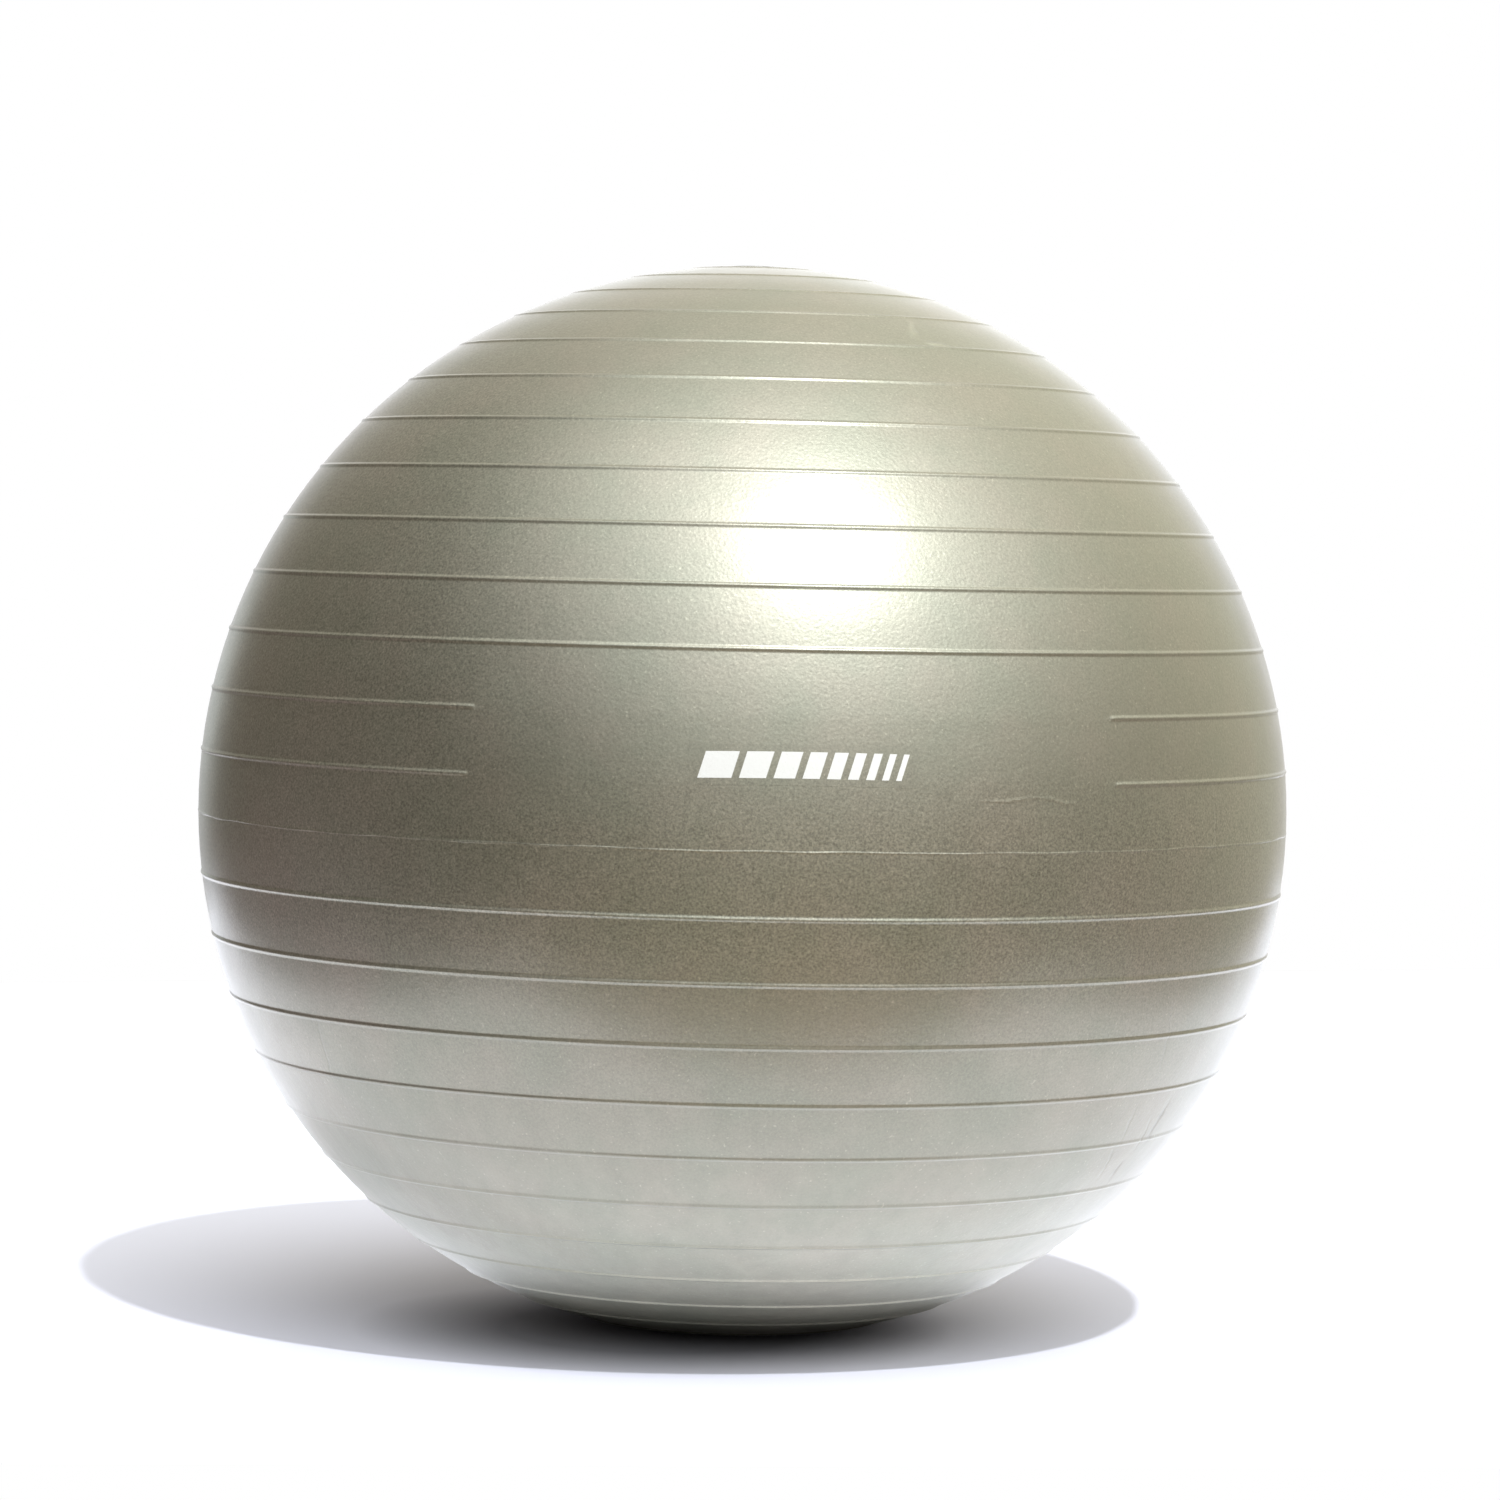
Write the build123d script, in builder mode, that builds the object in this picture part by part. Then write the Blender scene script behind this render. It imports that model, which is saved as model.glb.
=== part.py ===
"""Exercise ball of the 65 cm size: a hollow ribbed vinyl shell with a push-in air plug.

Millimetres, +Z up. The origin is where the ball's axis meets the floor, and the label faces -Y.
The upper half is a hemisphere. The lower half sags under its own weight the way any thin skin
blown up with air does: its mean curvature is the same everywhere, and it meets the floor flat.
"""

import os
from math import cos, degrees, pi, radians, sin, sqrt

from build123d import *

# Shell
BALL_R = 325.0            # widest radius when pumped up
FLOOR_FLAT_R = 40.0       # radius of the flat that the ball's weight presses onto the floor
WALL = 0.9                # thickness of the vinyl skin

# Ribs are latitude rings, evenly spaced along the meridian from the mould's parting line
PARTING_DROP = 5.0        # the parting line sinks this far below the widest circle
RIB_PITCH = 36.8
TOP_RIB = 13              # the last ring round the top pole
BOTTOM_RIB = -11          # the last ring that the floor does not press flat
BROKEN_RIBS = (1, 2)      # these stop short of the label's smooth window
WINDOW_HALF_ANGLE = 33.4  # degrees, each side of the front
RIB_W, RIB_H = 3.0, 1.0
PARTING_W, PARTING_H = 1.2, 0.3
RIB_ROOT = 0.3            # how far a rib's section reaches down into the wall

# Label on the front, between the parting line and the third rib
LABEL_W, LABEL_H = 124.0, 22.0
LABEL_CORNER_R = 1.5
LABEL_RISE = 47.0         # from the parting line up to the label's middle, along the meridian
FILM_T = 0.15
PRINT_T = 0.06
PRINT_W, PRINT_H = 115.0, 14.4
PRINT_BARS = 9
PRINT_GAP = 4.0           # between neighbouring bars
PRINT_TAPER = 0.8         # each bar's width over the one before it
PRINT_SLANT = 4.5         # how far a bar's top leans past its foot

# Air valve at the top pole
NECK_R = 14.0             # the valve seat's neck, in the hole through the wall
SEAT_FLANGE_R, SEAT_FLANGE_T = 21.0, 1.6
SEAT_BOSS_R = 9.0
SEAT_DEPTH = 17.0         # from the pole down to the seat's inner end
SEAT_LIP = 0.25           # the seat's rim stands this far proud of the shell
NOTCH_R = 2.3             # fingernail notch beside the plug's head
NOTCH_RISE = 0.4          # its centre over the seat's rim
PLUG_HEAD_R, PLUG_HEAD_T = 10.0, 1.8
PLUG_STEM_R, PLUG_STEM_L = 4.7, 22.0
PLUG_NOSE_R, PLUG_NOSE_L = 3.6, 4.0
PLUG_CORE_R = 2.4         # the plug is hollow from its inner end
PLUG_ROOF = 2.2           # solid end of that hollow, measured from the head's top
PLUG_GROOVES = 3
GROOVE_W, GROOVE_DEPTH, GROOVE_PITCH = 1.6, 0.5, 4.2
FIT = 0.05                # running clearance between the plug and its seat

# The lower half's shape
SKIN_CURVATURE = 1 / (BALL_R - FLOOR_FLAT_R**2 / BALL_R)   # mean curvature, per millimetre
FINE_STEPS = 1800         # steps of slope from the floor to the widest circle
POINT_STEPS = 100         # the outline takes one point in this many


def skin_radius(slope):
    """Distance from the axis at which the lower skin leans `slope` radians from level."""
    lean = sin(slope)
    return (lean + sqrt(lean**2 + (2 * SKIN_CURVATURE * FLOOR_FLAT_R) ** 2)) / (2 * SKIN_CURVATURE)


def lower_skin():
    """(arc from the floor flat, radius, height, slope) from the floor up to the widest circle."""
    step = pi / 2 / FINE_STEPS
    arc, height = 0.0, 0.0
    points = [(arc, FLOOR_FLAT_R, height, 0.0)]
    for index in range(FINE_STEPS):
        middle = (index + 0.5) * step
        bend = SKIN_CURVATURE * (1 + (FLOOR_FLAT_R / skin_radius(middle)) ** 2)
        arc += step / bend
        height += step / bend * sin(middle)
        slope = (index + 1) * step
        points.append((arc, skin_radius(slope), height, slope))
    return points


SKIN = lower_skin()
LOWER_ARC = SKIN[-1][0]
WIDEST_Z = SKIN[-1][2]
TOP_Z = WIDEST_Z + BALL_R


def on_meridian(rise):
    """(radius, height, tilt of the outward normal in degrees) `rise` above the parting line."""
    arc = rise - PARTING_DROP
    if arc >= 0:
        turn = arc / BALL_R
        return BALL_R * cos(turn), WIDEST_Z + BALL_R * sin(turn), degrees(turn)
    nearest = min(SKIN, key=lambda point: abs(point[0] - (LOWER_ARC + arc)))
    return nearest[1], nearest[2], degrees(nearest[3]) - 90


def rib_section(width, height):
    """A low round ridge across X, rising along Y from just under the skin."""
    with BuildSketch() as section:
        with BuildLine():
            Line((-width / 2, -RIB_ROOT), (width / 2, -RIB_ROOT))
            ThreePointArc((width / 2, -RIB_ROOT), (0, height), (-width / 2, -RIB_ROOT))
        make_face()
    return section.sketch


def place_rib(section, rise):
    """Where on the meridian a rib's section sits, standing on the skin."""
    radius, height, tilt = on_meridian(rise)
    return Location((radius, height, 0), (0, 0, tilt - 90)) * section


def meridian_plane(azimuth):
    """The half-plane through the axis, at `azimuth` degrees from +X."""
    turn = radians(azimuth)
    return Plane(origin=(0, 0, 0), x_dir=(cos(turn), sin(turn), 0), z_dir=(sin(turn), -cos(turn), 0))


def height_on_ball(radius, drop=0.0):
    """Height of the upper skin, or of a surface `drop` under it, at a distance from the axis."""
    return WIDEST_Z + sqrt((BALL_R - drop) ** 2 - radius**2)


RIB = rib_section(RIB_W, RIB_H)
PARTING = rib_section(PARTING_W, PARTING_H)
WHOLE_RIBS = [n for n in range(BOTTOM_RIB, TOP_RIB + 1) if n != 0 and n not in BROKEN_RIBS]

# Shell: the skin and its whole ribs are one turned section, then the broken ribs are added
OUTER = [(radius, height) for _, radius, height, _ in SKIN[::POINT_STEPS]]
INNER = [
    (radius - WALL * sin(slope), height + WALL * cos(slope))
    for _, radius, height, slope in SKIN[::POINT_STEPS]
]
NECK_TOP = (NECK_R, height_on_ball(NECK_R))
NECK_BOTTOM = (NECK_R, height_on_ball(NECK_R, WALL))
MID_TURN = radians(45)

with BuildPart() as ball_shell:
    with BuildSketch(Plane.XZ):
        with BuildLine():
            Line((0, 0), OUTER[0])
            Spline(*OUTER, tangents=((1, 0), (0, 1)))
            ThreePointArc(
                OUTER[-1], (BALL_R * cos(MID_TURN), WIDEST_Z + BALL_R * sin(MID_TURN)), NECK_TOP
            )
            Line(NECK_TOP, NECK_BOTTOM)
            ThreePointArc(
                NECK_BOTTOM,
                ((BALL_R - WALL) * cos(MID_TURN), WIDEST_Z + (BALL_R - WALL) * sin(MID_TURN)),
                INNER[-1],
            )
            Spline(*reversed(INNER), tangents=((0, -1), (-1, 0)))
            Line(INNER[0], (0, WALL))
            Line((0, WALL), (0, 0))
        make_face()
        add(place_rib(PARTING, 0))
        add([place_rib(RIB, n * RIB_PITCH) for n in WHOLE_RIBS])
    revolve(axis=Axis.Z)
    with BuildSketch(meridian_plane(WINDOW_HALF_ANGLE - 90)):
        add([place_rib(RIB, n * RIB_PITCH) for n in BROKEN_RIBS])
    revolve(axis=Axis.Z, revolution_arc=360 - 2 * WINDOW_HALF_ANGLE)

# Valve seat: a soft collar welded into the hole at the top pole, flanged under the wall
SEAT_TOP = height_on_ball(NECK_R) + SEAT_LIP
HEAD_FLOOR = SEAT_TOP - PLUG_HEAD_T
FLANGE_TOP = height_on_ball(SEAT_FLANGE_R, WALL)
FLANGE_MID_R = (NECK_R + SEAT_FLANGE_R) / 2
SEAT_END = TOP_Z - SEAT_DEPTH

with BuildPart() as valve_seat:
    with BuildSketch(Plane.XZ):
        with BuildLine():
            Polyline(
                NECK_BOTTOM,
                (NECK_R, SEAT_TOP),
                (PLUG_HEAD_R + FIT, SEAT_TOP),
                (PLUG_HEAD_R + FIT, HEAD_FLOOR),
                (PLUG_STEM_R + FIT, HEAD_FLOOR),
                (PLUG_STEM_R + FIT, SEAT_END),
                (SEAT_BOSS_R, SEAT_END),
                (SEAT_BOSS_R, FLANGE_TOP - SEAT_FLANGE_T),
                (SEAT_FLANGE_R, FLANGE_TOP - SEAT_FLANGE_T),
                (SEAT_FLANGE_R, FLANGE_TOP),
            )
            ThreePointArc(
                (SEAT_FLANGE_R, FLANGE_TOP),
                (FLANGE_MID_R, height_on_ball(FLANGE_MID_R, WALL)),
                NECK_BOTTOM,
            )
        make_face()
    revolve(axis=Axis.Z)
    with Locations((0, PLUG_HEAD_R + NOTCH_R / 2, SEAT_TOP + NOTCH_RISE)):
        Sphere(NOTCH_R, mode=Mode.SUBTRACT)

# Plug: a flush round head on a hollow, grooved stem with a tapered nose
STEM_END = HEAD_FLOOR - PLUG_STEM_L
NOSE_START = STEM_END + PLUG_NOSE_L
GROOVE_HEIGHTS = [NOSE_START + GROOVE_PITCH * (n + 0.5) for n in range(PLUG_GROOVES)]
CORE_L = SEAT_TOP - PLUG_ROOF - STEM_END

with BuildPart() as valve_plug:
    with BuildSketch(Plane.XZ):
        with BuildLine():
            Polyline(
                (0, STEM_END),
                (PLUG_NOSE_R, STEM_END),
                (PLUG_STEM_R, NOSE_START),
                (PLUG_STEM_R, HEAD_FLOOR),
                (PLUG_HEAD_R, HEAD_FLOOR),
                (PLUG_HEAD_R, SEAT_TOP),
                (0, SEAT_TOP),
                close=True,
            )
        make_face()
        with Locations([(PLUG_STEM_R, height) for height in GROOVE_HEIGHTS]):
            Rectangle(2 * GROOVE_DEPTH, GROOVE_W, mode=Mode.SUBTRACT)
        with Locations((0, STEM_END)):
            Rectangle(PLUG_CORE_R, CORE_L, align=(Align.MIN, Align.MIN), mode=Mode.SUBTRACT)
    revolve(axis=Axis.Z)
    fillet(valve_plug.edges().group_by(Axis.Z)[-1], PLUG_HEAD_T / 4)

# Label: a thin clear film on the front, printed with slanted bars that narrow to one side
LABEL_TURN = (LABEL_RISE - PARTING_DROP) / BALL_R
BALL_CENTRE = (0, 0, WIDEST_Z)
LABEL_FACE = Plane(
    origin=(0, -BALL_R * cos(LABEL_TURN), WIDEST_Z + BALL_R * sin(LABEL_TURN)),
    x_dir=(1, 0, 0),
    z_dir=(0, -cos(LABEL_TURN), sin(LABEL_TURN)),
)
LABEL_REACH = 10.0        # the outline is cut this far in and out, to cross the skin everywhere

with BuildPart() as label_film:
    with BuildSketch(LABEL_FACE):
        RectangleRounded(LABEL_W, LABEL_H, LABEL_CORNER_R)
    extrude(amount=LABEL_REACH, both=True)
    with Locations(BALL_CENTRE):
        Sphere(BALL_R + FILM_T, mode=Mode.INTERSECT)
        Sphere(BALL_R, mode=Mode.SUBTRACT)

BAR_SHARES = [PRINT_TAPER**n for n in range(PRINT_BARS)]
BAR_LENGTH = PRINT_W - PRINT_SLANT - PRINT_GAP * (PRINT_BARS - 1)
BAR_WIDTHS = [BAR_LENGTH * share / sum(BAR_SHARES) for share in BAR_SHARES]

with BuildPart() as label_print:
    with BuildSketch(LABEL_FACE):
        left = -PRINT_W / 2
        for width in BAR_WIDTHS:
            with BuildLine():
                Polyline(
                    (left, -PRINT_H / 2),
                    (left + width, -PRINT_H / 2),
                    (left + width + PRINT_SLANT, PRINT_H / 2),
                    (left + PRINT_SLANT, PRINT_H / 2),
                    close=True,
                )
            make_face()
            left += width + PRINT_GAP
    extrude(amount=LABEL_REACH, both=True)
    with Locations(BALL_CENTRE):
        Sphere(BALL_R + FILM_T + PRINT_T, mode=Mode.INTERSECT)
        Sphere(BALL_R + FILM_T, mode=Mode.SUBTRACT)

os.makedirs("parts", exist_ok=True)

ball_shell.part.label = "ball_shell"
export_step(ball_shell.part, "parts/ball_shell.step")

valve_seat.part.label = "valve_seat"
export_step(valve_seat.part, "parts/valve_seat.step")

valve_plug.part.label = "valve_plug"
export_step(valve_plug.part, "parts/valve_plug.step")

label_film.part.label = "label_film"
export_step(label_film.part, "parts/label_film.step")

label_print.part.label = "label_print"
export_step(label_print.part, "parts/label_print.step")

print(f"widest circle at z = {WIDEST_Z:.2f}, top pole at z = {TOP_Z:.2f}")
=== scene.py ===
"""An exercise ball on a white studio floor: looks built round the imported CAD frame.

Metres, +Z up, the label towards -Y, the origin where the ball's axis meets the floor.
"""

from math import cos, pi, radians, sin, tau

import bpy
import numpy as np
from mathutils import Matrix, Vector

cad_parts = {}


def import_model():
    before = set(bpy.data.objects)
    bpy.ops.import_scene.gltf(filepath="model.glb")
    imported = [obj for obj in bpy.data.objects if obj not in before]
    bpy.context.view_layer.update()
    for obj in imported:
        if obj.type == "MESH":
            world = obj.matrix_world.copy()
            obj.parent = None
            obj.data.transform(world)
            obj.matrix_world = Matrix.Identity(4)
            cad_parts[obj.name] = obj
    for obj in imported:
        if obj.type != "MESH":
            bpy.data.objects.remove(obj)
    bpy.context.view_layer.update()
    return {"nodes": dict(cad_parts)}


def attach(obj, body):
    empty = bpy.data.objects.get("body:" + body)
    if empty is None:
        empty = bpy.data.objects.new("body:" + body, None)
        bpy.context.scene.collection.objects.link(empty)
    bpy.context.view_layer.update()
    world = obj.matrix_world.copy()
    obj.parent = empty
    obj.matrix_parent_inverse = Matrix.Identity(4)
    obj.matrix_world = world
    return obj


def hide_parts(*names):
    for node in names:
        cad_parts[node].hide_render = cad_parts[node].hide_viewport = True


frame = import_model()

MM = 0.001

# The ball, as the CAD part has it
BALL_R = 325 * MM
FLOOR_FLAT_R = 40 * MM
WALL = 0.9 * MM
PARTING_DROP = 5 * MM
RIB_PITCH = 36.8 * MM
TOP_RIB, BOTTOM_RIB = 13, -11
BROKEN_RIBS = (1, 2)
WINDOW_HALF_ANGLE = radians(33.4)
NECK_R = 14 * MM
NECK_EDGE = 0.4 * MM                    # an extra row this near the neck keeps its smoothed edge crisp

# Ribs and parting line: rounded, a little uneven, and lower than the CAD part has them
RIB_H, RIB_HALF_W = 0.72 * MM, 1.7 * MM
FULL_RIBS, RIB_FADE = 3, 0.04           # above this rib each is lower, by this share of RIB_H
PARTING_H, PARTING_HALF_W = 0.21 * MM, 0.8 * MM
RIB_UNEVEN, PARTING_UNEVEN = 0.12, 0.6
SECTION_POWER = 1.5                     # above 1, a rib's sides run out softly into the skin
RIB_END = 3.0 * MM                      # a broken rib runs out over this length
SEAM_WANDER = 0.5 * MM
SEAM_REACH = 0.3 * RIB_PITCH            # rows this near the parting line follow it

# The mesh
RIB_ROWS = (-1.35, -1.0, -0.62, -0.3, 0.0, 0.3, 0.62, 1.0, 1.35)   # over a rib, in half widths
ROWS_BETWEEN = 2
COLUMNS = 312
RIB_END_COLUMNS = (0, 1.5 * MM, 3 * MM)
FLOOR_RINGS = (0.12, 0.4, 0.7, 0.9)     # in shares of the floor flat's radius
INNER_RINGS, INNER_FLOOR_RING = 12, 0.4

FRONT = -pi / 2


def towards(azimuth, elevation):
    """Unit vector for a compass-like azimuth (0 is -Y, 90 is +X) and elevation, in degrees."""
    turn, lift = radians(azimuth), radians(elevation)
    return Vector((sin(turn) * cos(lift), -cos(turn) * cos(lift), sin(lift)))


# ---------------------------------------------------------------- the skin's shape

def lower_skin(steps=1800):
    """Arc, radius, height and slope of the sagged lower half, from the floor flat upwards."""
    curvature = 1 / (BALL_R - FLOOR_FLAT_R**2 / BALL_R)

    def radius_at(slope):
        lean = np.sin(slope)
        return (lean + np.sqrt(lean**2 + (2 * curvature * FLOOR_FLAT_R) ** 2)) / (2 * curvature)

    slope = np.linspace(0, pi / 2, steps + 1)
    middle = (slope[1:] + slope[:-1]) / 2
    arc_step = (slope[1] - slope[0]) / (curvature * (1 + (FLOOR_FLAT_R / radius_at(middle)) ** 2))
    arc = np.concatenate([[0], np.cumsum(arc_step)])
    height = np.concatenate([[0], np.cumsum(arc_step * np.sin(middle))])
    return arc, radius_at(slope), height, slope


SKIN_ARC, SKIN_R, SKIN_Z, SKIN_SLOPE = lower_skin()
LOWER_ARC, WIDEST_Z = SKIN_ARC[-1], SKIN_Z[-1]
CENTRE = Vector((0, 0, WIDEST_Z))


def on_meridian(rise):
    """(radius, height, tilt of the outward normal) for each `rise` above the parting line."""
    arc = np.asarray(rise) - PARTING_DROP
    turn = np.maximum(arc, 0) / BALL_R
    below = LOWER_ARC + np.minimum(arc, 0)
    upper = arc >= 0
    radius = np.where(upper, BALL_R * np.cos(turn), np.interp(below, SKIN_ARC, SKIN_R))
    height = np.where(upper, WIDEST_Z + BALL_R * np.sin(turn), np.interp(below, SKIN_ARC, SKIN_Z))
    tilt = np.where(upper, turn, np.interp(below, SKIN_ARC, SKIN_SLOPE) - pi / 2)
    return radius, height, tilt


def ripple(azimuth, seed, waves):
    """A smooth closed ripple round the ball, from -1 to 1, made of a few whole waves."""
    total = sum(np.sin(count * azimuth + seed * (index + 1.7)) for index, count in enumerate(waves))
    return total / len(waves)


def seam_wander(azimuth):
    """How far the parting line strays from level round the ball."""
    return SEAM_WANDER * ripple(azimuth, 5, (9, 16, 29, 44))


def rib_rise(rise, azimuth):
    """How far ribs and parting line stand out of the skin at (rise, azimuth)."""
    lift = np.zeros(np.broadcast(rise, azimuth).shape)
    for number in range(BOTTOM_RIB, TOP_RIB + 1):
        if number:
            half_w, middle = RIB_HALF_W, number * RIB_PITCH
            top = RIB_H * (1 - RIB_FADE * max(number - FULL_RIBS, 0))
            uneven = 1 + RIB_UNEVEN * ripple(azimuth, number, (7, 12, 23, 41))
        else:
            half_w, top, middle = PARTING_HALF_W, PARTING_H, seam_wander(azimuth)
            uneven = 1 + PARTING_UNEVEN * ripple(azimuth, 3, (31, 53, 71))
        off = np.abs(rise - middle) / half_w
        section = np.where(off < 1, np.cos(np.minimum(off, 1) * pi / 2) ** SECTION_POWER, 0)
        if number in BROKEN_RIBS:
            radius = on_meridian(number * RIB_PITCH)[0]
            from_front = np.abs((azimuth - FRONT + pi) % tau - pi)
            past_end = (from_front - WINDOW_HALF_ANGLE) * radius / RIB_END
            uneven = uneven * np.clip(past_end, 0, 1)
        lift = lift + top * section * uneven
    return lift


def skin_rows():
    """The rises at which the outer skin has a row of points, from the floor flat to the neck."""
    low = PARTING_DROP - LOWER_ARC
    high = PARTING_DROP + BALL_R * (pi / 2 - NECK_R / BALL_R)
    rows = []
    for number in range(BOTTOM_RIB, TOP_RIB + 1):
        half_w = RIB_HALF_W if number else PARTING_HALF_W
        rows += [number * RIB_PITCH + share * half_w for share in RIB_ROWS]
    gaps = [(low, rows[0])]
    gaps += [(a, b) for a, b in zip(rows, rows[1:]) if b - a > 0.5 * RIB_PITCH]
    gaps += [(rows[-1], high)]
    for start, end in gaps:
        rows += list(np.linspace(start, end, ROWS_BETWEEN + 2)[1:-1])
    return np.array(sorted(rows + [low, high - NECK_EDGE, high]))


def column_azimuths():
    """Even columns, with a few more where the broken ribs end."""
    past_window = [WINDOW_HALF_ANGLE + step / BALL_R for step in RIB_END_COLUMNS]
    ends = [side * angle for side in (-1, 1) for angle in past_window]
    even = np.arange(COLUMNS) * tau / COLUMNS
    return np.sort(np.concatenate([even, np.mod(np.array(ends) + FRONT, tau)]))


def outer_points(rise, azimuth):
    """Points on the outer skin, ribs included."""
    radius, height, tilt = on_meridian(rise)
    lift = rib_rise(rise, azimuth)
    out = radius + lift * np.cos(tilt)
    return np.stack([out * np.cos(azimuth), out * np.sin(azimuth), height + lift * np.sin(tilt)], -1)


def ring_at(radius, height, azimuth):
    """A level ring of points."""
    level = np.full(len(azimuth), height)
    return np.stack([radius * np.cos(azimuth), radius * np.sin(azimuth), level], -1)


# ---------------------------------------------------------------- meshes

def new_object(name, points, faces, material, body):
    """A smoothed mesh object that rides on a body of the frame."""
    mesh = bpy.data.meshes.new(name)
    mesh.from_pydata(points, [], faces)
    mesh.validate()
    mesh.polygons.foreach_set("use_smooth", [True] * len(mesh.polygons))
    mesh.materials.append(material)
    obj = bpy.data.objects.new(name, mesh)
    bpy.context.scene.collection.objects.link(obj)
    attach(obj, body)
    return obj


def ball_skin(material):
    """The whole hollow shell: outer skin with ribs, floor flat, neck edge and inner skin."""
    azimuth = column_azimuths()
    rise = skin_rows()
    wander = seam_wander(azimuth)
    rings = [outer_points(r + wander * max(0, 1 - abs(r) / SEAM_REACH), azimuth) for r in rise]
    flat = [ring_at(share * FLOOR_FLAT_R, 0.0, azimuth) for share in FLOOR_RINGS]
    inner = []
    for r in np.linspace(rise[-1], rise[0], INNER_RINGS):
        radius, height, tilt = on_meridian(r)
        inner.append(ring_at(radius - WALL * cos(tilt), height - WALL * sin(tilt), azimuth))
    inner.append(ring_at(FLOOR_FLAT_R * INNER_FLOOR_RING, WALL, azimuth))
    rings = flat + rings + inner
    count = len(azimuth)
    points = np.concatenate(rings)
    low, high = len(points), len(points) + 1
    points = np.concatenate([points, [[0, 0, 0], [0, 0, WALL]]])
    faces = []
    for row in range(len(rings) - 1):
        a, b = row * count, (row + 1) * count
        faces += [(a + i, a + (i + 1) % count, b + (i + 1) % count, b + i) for i in range(count)]
    last = (len(rings) - 1) * count
    faces += [(low, (i + 1) % count, i) for i in range(count)]
    faces += [(high, last + i, last + (i + 1) % count) for i in range(count)]
    skin = new_object("ball_skin", points.tolist(), faces, material, "ball")
    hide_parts("ball_shell")
    return skin


# ---------------------------------------------------------------- materials

class Tree:
    """Short spellings for the few shader nodes that the materials and the room share."""

    def __init__(self, tree):
        self.tree = tree

    def feed(self, node, name, value):
        if isinstance(value, bpy.types.NodeSocket):
            self.tree.links.new(value, node.inputs[name])
        else:
            node.inputs[name].default_value = value

    def math(self, kind, first, second=0.0):
        node = self.tree.nodes.new("ShaderNodeMath")
        node.operation = kind
        self.feed(node, 0, first)
        self.feed(node, 1, second)
        return node.outputs["Value"]

    def vector_math(self, kind, *values):
        node = self.tree.nodes.new("ShaderNodeVectorMath")
        node.operation = kind
        for index, value in enumerate(values):
            self.feed(node, index, value)
        return node

    def vector(self, kind, first, second):
        return self.vector_math(kind, first, second).outputs["Vector"]

    def dot(self, first, second):
        return self.vector_math("DOT_PRODUCT", first, second).outputs["Value"]

    def length(self, value):
        return self.vector_math("LENGTH", value).outputs["Value"]

    def scale(self, value, amount):
        node = self.vector_math("SCALE", value)
        self.feed(node, "Scale", amount)
        return node.outputs["Vector"]

    def is_camera_ray(self):
        return self.tree.nodes.new("ShaderNodeLightPath").outputs["Is Camera Ray"]


class Nodes(Tree):
    """A material with its shader, and the nodes that need a place on the object."""

    def __init__(self, name):
        self.material = bpy.data.materials.new(name)
        self.material.use_nodes = True
        super().__init__(self.material.node_tree)
        self.shader = self.tree.nodes["Principled BSDF"]
        self.place = self.tree.nodes.new("ShaderNodeTexCoord").outputs["Object"]
        self.shifted = self.vector("ADD", self.place, (0.31, 0.17, 0.23))
        apart = self.tree.nodes.new("ShaderNodeSeparateXYZ")
        self.tree.links.new(self.place, apart.inputs["Vector"])
        self.across, self.height = apart.outputs["X"], apart.outputs["Z"]

    def set(self, **values):
        for key, value in values.items():
            color = isinstance(value, tuple)
            self.feed(self.shader, key.replace("_", " "), (*value, 1) if color else value)

    def noise_node(self, size, detail=2.0, rough=0.5, place=None):
        node = self.tree.nodes.new("ShaderNodeTexNoise")
        self.feed(node, "Vector", place or self.place)
        self.feed(node, "Scale", 1 / size)
        self.feed(node, "Detail", detail)
        self.feed(node, "Roughness", rough)
        return node

    def noise(self, size, detail=2.0, rough=0.5, place=None):
        return self.noise_node(size, detail, rough, place).outputs["Fac"]

    def wandering_place(self, size, reach):
        """The place, moved about smoothly by up to half of `reach` along each axis."""
        shift = self.vector("SUBTRACT", self.noise_node(size).outputs["Color"], (0.5, 0.5, 0.5))
        return self.vector("ADD", self.place, self.scale(shift, reach))

    def cells(self, size):
        node = self.tree.nodes.new("ShaderNodeTexVoronoi")
        node.feature = "SMOOTH_F1"
        self.feed(node, "Vector", self.place)
        self.feed(node, "Scale", 1 / size)
        self.feed(node, "Smoothness", 0.6)
        return node.outputs["Distance"]

    def stretched(self, along):
        return self.vector("MULTIPLY", self.place, along)

    def span(self, value, low, high, to_low=0.0, to_high=1.0):
        node = self.tree.nodes.new("ShaderNodeMapRange")
        self.feed(node, "Value", value)
        for name, number in (("From Min", low), ("From Max", high), ("To Min", to_low), ("To Max", to_high)):
            self.feed(node, name, number)
        return node.outputs["Result"]

    def blend(self, amount, first, second):
        node = self.tree.nodes.new("ShaderNodeMix")
        node.data_type = "RGBA"
        self.feed(node, 0, amount)
        for index, color in ((6, first), (7, second)):
            self.feed(node, index, (*color, 1) if isinstance(color, tuple) else color)
        return node.outputs[2]

    def bump(self, height, depth, below=None):
        node = self.tree.nodes.new("ShaderNodeBump")
        self.feed(node, "Distance", depth)
        self.feed(node, "Height", height)
        if below:
            self.tree.links.new(below, node.inputs["Normal"])
        return node.outputs["Normal"]


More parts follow.
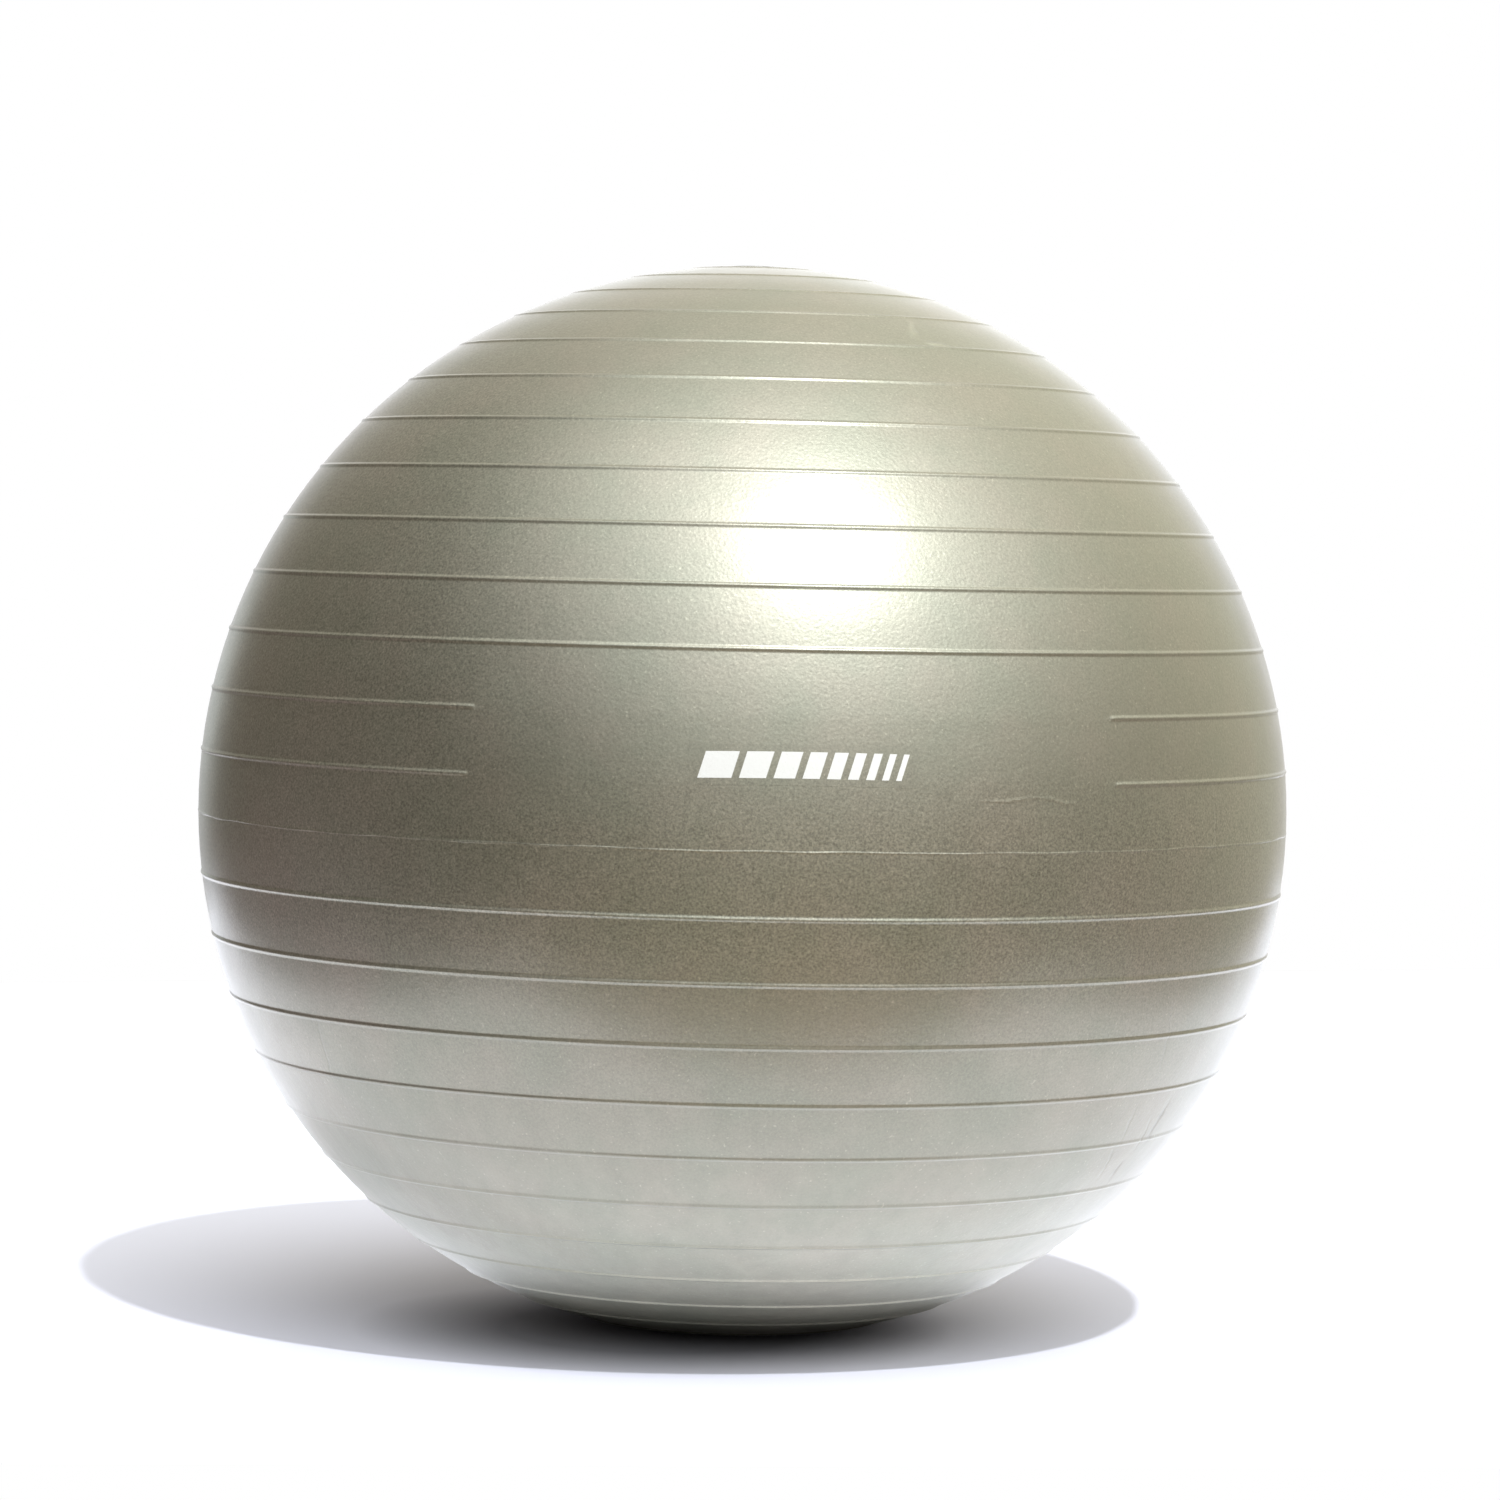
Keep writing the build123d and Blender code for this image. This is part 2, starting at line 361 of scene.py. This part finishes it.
# Creases and scuffs left by folding: azimuth (0 in front, 90 to the right) and height angle of the
# middle, lean (0 is level, 90 is upright), all in degrees, the length, and the depth (below 0 is raised).
# The first twelve come from a scratch program that turned places in the photo into angles on the ball,
# some of them moved by hand since. The thirteenth was placed, and the last two are guesses.
CREASES = (
    (20.5, 4.3, 5, 40 * MM, -0.2),
    (26, 4.2, -8, 40 * MM, -0.2),
    (46, -11.6, -66, 58 * MM, 0.3),
    (49.4, 1.3, -85, 34 * MM, 0.3),
    (55.5, -31, 98, 40 * MM, 1.0),
    (53.6, -32.5, 104, 30 * MM, 0.6),
    (53, -37.5, 105, 24 * MM, 0.9),
    (48.5, -35.5, 110, 34 * MM, 0.5),
    (48, -31, 100, 34 * MM, 0.4),
    (47.5, -20.6, -75, 56 * MM, 0.3),
    (30, 61.5, -112, 34 * MM, -1.3),
    (32, 58.3, -12, 20 * MM, -1.3),
    (-58, -24, 82, 60 * MM, 0.3),
    (146, 18, 25, 46 * MM, 0.4),
    (-118, -8, 66, 42 * MM, 0.4),
)
CREASE_HALF_W, DEEP_EXTRA_W = 0.9 * MM, 2.4 * MM


def creases(mat):
    """How deep the folding creases are at each point; below 0 where the vinyl is raised."""
    near = mat.wandering_place(14 * MM, 8 * MM)
    total = 0.0
    for azimuth, height_angle, lean, length, depth in CREASES:
        outward = towards(azimuth, height_angle)
        level = Vector((0, 0, 1)).cross(outward).normalized()
        upward = outward.cross(level)
        across = upward * cos(radians(lean)) - level * sin(radians(lean))
        offset = mat.vector("SUBTRACT", near, CENTRE + outward * BALL_R)
        half_w = CREASE_HALF_W + abs(depth) * DEEP_EXTRA_W
        off_line = mat.math("ABSOLUTE", mat.dot(offset, across))
        side = mat.span(off_line, 0, half_w, depth, 0)
        run = mat.span(mat.length(offset), 0.15 * length, 0.5 * length, 1, 0)
        total = mat.math("ADD", total, mat.math("MULTIPLY", side, run))
    return total


def painted_grain_shading(mat):
    """How strongly the speckle shows: most round the middle and on the left.

    It follows the contrast measured on the photo: painted shading, strongest away from the highlight.
    Whether that is the vinyl or the light isn't known.
    """
    above_low, below_high = mat.span(mat.height, 0.19, 0.25), mat.span(mat.height, 0.31, 0.39, 1, 0)
    middle = mat.math("MULTIPLY", above_low, below_high)
    above_left, leftwards = mat.span(mat.height, 0.18, 0.27), mat.span(mat.across, -0.2, -0.06, 1, 0)
    left = mat.math("MULTIPLY", above_left, leftwards)
    least = mat.span(mat.height, 0.12, 0.20, 0.15, 0.4)
    return mat.math("MAXIMUM", least, mat.math("MAXIMUM", middle, left))


def leather_grain(mat):
    """The height of the vinyl's leathery grain."""
    return mat.math("ADD", mat.noise(1.9 * MM, 2, 0.6), mat.math("MULTIPLY", mat.cells(2.2 * MM), 0.6))


def vinyl(name, grain_depth, tone=1.0, creased=True):
    """Pearl-grey PVC: a leathery grain, faint olive and brown clouds, fine pearl speckle."""
    mat = Nodes(name)
    clouds = mat.span(mat.noise(60 * MM, 4, 0.6), 0.35, 0.65)
    color = mat.blend(clouds, (0.211, 0.208, 0.160), (0.234, 0.218, 0.171))
    speckle = mat.span(mat.noise(1.35 * MM, 2, 0.7), 0.28, 0.72, -0.42, 0.42)
    speckle = mat.math("MULTIPLY", speckle, painted_grain_shading(mat))
    # painted glints: sparse bright specks added to the colour
    painted_glints = mat.span(mat.noise(1.6 * MM, 0, 0.5, mat.shifted), 0.76, 0.82, 0, 0.3)
    # painted reflection: faint upright streaks in the lower part's colour; they also bump the surface
    reflection_streaks = mat.noise(14 * MM, 3, 0.6, mat.stretched((1, 1, 0.13)))
    low_down = mat.span(mat.height, 0.06, 0.26, 1, 0)
    reflection_streaks = mat.math("MULTIPLY", mat.span(reflection_streaks, 0.3, 0.7, -1, 1), low_down)
    shade = mat.math("ADD", mat.math("ADD", speckle, painted_glints), mat.math("MULTIPLY", reflection_streaks, 0.07))
    relief = mat.bump(leather_grain(mat), grain_depth)
    relief = mat.bump(mat.noise(45 * MM, 2), 0.25 * MM, relief)
    relief = mat.bump(reflection_streaks, 0.11 * MM, relief)
    if creased:
        folds = creases(mat)
        # painted shade: the colour is darker along the creases; raised marks are made lighter
        shade = mat.math("SUBTRACT", shade, mat.math("MULTIPLY", folds, 0.24))
        relief = mat.bump(mat.math("MULTIPLY", folds, -1), 0.7 * MM, relief)
    rough = mat.span(mat.noise(26 * MM, 4, 0.6), 0.3, 0.7, 0.37, 0.43)
    color = mat.scale(color, mat.math("ADD", shade, tone))
    mat.set(Base_Color=color, Metallic=0.8, Roughness=rough, Normal=relief)
    mat.set(Coat_Weight=0.5, Coat_Roughness=0.28)
    return mat.material


def seat_vinyl():
    """The same PVC, smoother and a little darker."""
    mat = Nodes("seat_satin")
    color = mat.blend(mat.noise(6 * MM, 4), (0.165, 0.158, 0.125), (0.20, 0.19, 0.152))
    relief = mat.bump(mat.noise(0.7 * MM, 3, 0.7), 0.03 * MM)
    rough = mat.span(mat.noise(3 * MM, 3), 0.3, 0.7, 0.42, 0.54)
    mat.set(Base_Color=color, Metallic=0.5, Roughness=rough, Normal=relief)
    return mat.material


def plug_plastic():
    """Off-white moulded plastic: soft clouds, fine stretched marks and a little grime in patches."""
    mat = Nodes("plug_offwhite")
    color = mat.blend(mat.noise(5 * MM, 4), (0.36, 0.355, 0.33), (0.43, 0.425, 0.40))
    grime = mat.span(mat.noise(1.6 * MM, 5, 0.7), 0.55, 0.75, 0, 0.35)
    color = mat.blend(grime, color, (0.24, 0.225, 0.19))
    marks = mat.noise(0.8 * MM, 3, 0.6, mat.stretched((1, 0.15, 1)))
    rough = mat.span(marks, 0.3, 0.7, 0.28, 0.42)
    mat.set(Base_Color=color, Roughness=rough, Normal=mat.bump(marks, 0.02 * MM))
    return mat.material


def white_ink():
    """Opaque ink with the vinyl's grain, a little thin in places."""
    mat = Nodes("ink_white")
    thin = mat.span(mat.noise(1.1 * MM, 3, 0.7), 0.28, 0.4, 1, 0)
    color = mat.blend(mat.math("MULTIPLY", thin, 0.3), (0.56, 0.56, 0.54), (0.38, 0.375, 0.33))
    rough = mat.span(mat.noise(4 * MM, 3), 0.3, 0.7, 0.45, 0.58)
    mat.set(Base_Color=color, Roughness=rough, Normal=mat.bump(leather_grain(mat), 0.05 * MM))
    return mat.material


# ---------------------------------------------------------------- studio

SUN_TOWARDS = Vector((0.176, -0.506, 0.844))
SUN_COLOR = (0.90, 0.94, 1.0)
SUN_ENERGY = 2.85
SUN_WIDTH = radians(1.5)                # a narrow lamp: the photographed shadow has a crisp edge
FLOOR_OUTLINE = ((-0.5, -0.47, 0), (0.5, -0.47, 0), (2.0, 2.8, 0), (-1.25, 2.0, 0))
FLOOR_DROP = 0.2 * MM                   # keeps the floor apart from the ball's flat underside
FLOOR_SHOWN = (0.59, 0.585, 0.65)       # the floor's tone to the camera
FLOOR_LIGHTING = (0.80, 0.80, 0.88)     # its tone to everything else, so that it lights the underside more
FLOOR_GLOW = (0.93, 0.98, 1.09)         # a ring of light round the ball, which the camera doesn't see
PAINTED_SHADOW_MIDDLE = (-0.05, -0.03, 0)       # the middle of the shadow painted round the contact
ROOM_COLOR = (0.135, 0.105, 0.07)
# Soft light from round the ball: azimuth (0 in front, 90 to the right), elevation, tightness, colour.
# sky_above and left_above are a scratch program's fit to the photo's brightness, rounded. The room
# colour, right_side, paper_behind, left_behind and warm_ground started in that fit and were then
# changed. The others were added by hand, from directions that a second scratch program gave.
SOFT_LIGHTS = {
    "sky_above": (14, 56, 3.8, (3.5, 3.75, 3.95)),
    "sky_behind": (198, 58, 4, (0.54, 0.52, 0.46)),
    "right_side": (128, 33, 2.5, (1.15, 1.13, 0.92)),
    "paper_behind": (175, 8, 21, (1.8, 1.88, 2.15)),
    "left_behind": (199, 2, 150, (1.1, 1.25, 1.25)),
    "right_behind": (154, 9, 60, (0.15, 0.22, 0.45)),
    "left_above": (291, 67, 33, (1.1, 1.17, 1.12)),
    "warm_ground": (10, -50, 2, (0.74, 0.64, 0.49)),
    "right_front": (55, 24, 14, (0.22, 0.19, 0.14)),
    "left_ground": (252, -30, 8, (0.44, 0.36, 0.43)),
    "right_ground": (80, -22, 10, (0.28, 0.21, 0.21)),
}


def world():
    """White to the camera; to everything else a dim room with a few soft lights."""
    room_world = bpy.data.worlds.new("studio_world")
    bpy.context.scene.world = room_world
    room_world.use_nodes = True
    room = Tree(room_world.node_tree)
    nodes, links = room.tree.nodes, room.tree.links
    nodes.clear()
    direction = nodes.new("ShaderNodeTexCoord").outputs["Generated"]
    light = ROOM_COLOR
    for azimuth, elevation, tightness, color in SOFT_LIGHTS.values():
        facing = room.math("MAXIMUM", room.dot(direction, towards(azimuth, elevation)), 0)
        light = room.vector("ADD", light, room.scale(color, room.math("POWER", facing, tightness)))
    lighting, shown = nodes.new("ShaderNodeBackground"), nodes.new("ShaderNodeBackground")
    links.new(light, lighting.inputs["Color"])
    shown.inputs["Color"].default_value = (1, 1, 1, 1)
    choose = nodes.new("ShaderNodeMixShader")
    links.new(room.is_camera_ray(), choose.inputs["Fac"])
    links.new(lighting.outputs["Background"], choose.inputs[1])
    links.new(shown.outputs["Background"], choose.inputs[2])
    out = nodes.new("ShaderNodeOutputWorld")
    links.new(choose.outputs["Shader"], out.inputs["Surface"])


def floor_paper():
    """Pale paper. It shows the camera one tone, with a painted shadow, and lights the ball with another."""
    paper = Nodes("studio_floor")
    seen = paper.is_camera_ray()
    reach = paper.length(paper.place)
    from_shadow_middle = paper.length(paper.vector("SUBTRACT", paper.place, PAINTED_SHADOW_MIDDLE))
    # painted shadow: the tone the camera sees darkens round the contact
    shown = paper.scale(FLOOR_SHOWN, paper.span(from_shadow_middle, 0.09, 0.18, 0.42, 1))
    # painted shade: the tone that lights the ball falls nearly to black under it
    lighting = paper.scale(FLOOR_LIGHTING, paper.span(reach, 0.10, 0.17, 0.04, 1))
    paper.set(Base_Color=paper.blend(seen, lighting, shown), Roughness=1.0, Specular_IOR_Level=0.0)
    ring = paper.math("MULTIPLY", paper.span(reach, 0.13, 0.18), paper.span(reach, 0.20, 0.36, 1.15, 0.25))
    unseen = paper.math("SUBTRACT", 1, seen)
    paper.set(Emission_Color=FLOOR_GLOW, Emission_Strength=paper.math("MULTIPLY", ring, unseen))
    return paper.material


def studio():
    mesh = bpy.data.meshes.new("studio_floor")
    mesh.from_pydata(FLOOR_OUTLINE, [], [(0, 1, 2, 3)])
    mesh.materials.append(floor_paper())
    floor = bpy.data.objects.new("studio_floor", mesh)
    floor.location.z = -FLOOR_DROP
    bpy.context.scene.collection.objects.link(floor)

    sun_data = bpy.data.lights.new("sun", "SUN")
    sun_data.energy = SUN_ENERGY
    sun_data.color = SUN_COLOR
    sun_data.angle = SUN_WIDTH
    sun = bpy.data.objects.new("sun", sun_data)
    sun.rotation_mode = "QUATERNION"
    sun.rotation_quaternion = SUN_TOWARDS.to_track_quat("Z", "Y")
    bpy.context.scene.collection.objects.link(sun)
    world()
    bpy.context.scene.view_settings.view_transform = "Standard"


# The photograph's camera, as a fit of the ball's outline and ribs gave it
VIEW_AZIMUTH, VIEW_ELEVATION = -5.86, 3.09
VIEW_DISTANCE = 3.029
LOOK_YAW, LOOK_PITCH, LOOK_ROLL = radians(-5.93), radians(-2.41), radians(1.28)
LENS = 121.0


def camera():
    data = bpy.data.cameras.new("camera")
    data.lens = LENS
    data.sensor_width = 36
    cam = bpy.data.objects.new("camera", data)
    where = CENTRE + towards(VIEW_AZIMUTH, VIEW_ELEVATION) * VIEW_DISTANCE
    turn = Matrix.Rotation(LOOK_YAW, 4, "Z") @ Matrix.Rotation(pi / 2 + LOOK_PITCH, 4, "X")
    cam.matrix_world = Matrix.Translation(where) @ turn @ Matrix.Rotation(LOOK_ROLL, 4, "Z")
    bpy.context.scene.collection.objects.link(cam)
    bpy.context.scene.camera = cam


studio()
camera()
ball_skin(vinyl("ball_vinyl", 0.09 * MM))
for node, material in (
    ("valve_seat", seat_vinyl()),
    ("valve_plug", plug_plastic()),
    ("label_film", vinyl("film_over_vinyl", 0.04 * MM, tone=0.96, creased=False)),
    ("label_print", white_ink()),
):
    obj = frame["nodes"][node]
    obj.data.materials.clear()
    obj.data.materials.append(material)
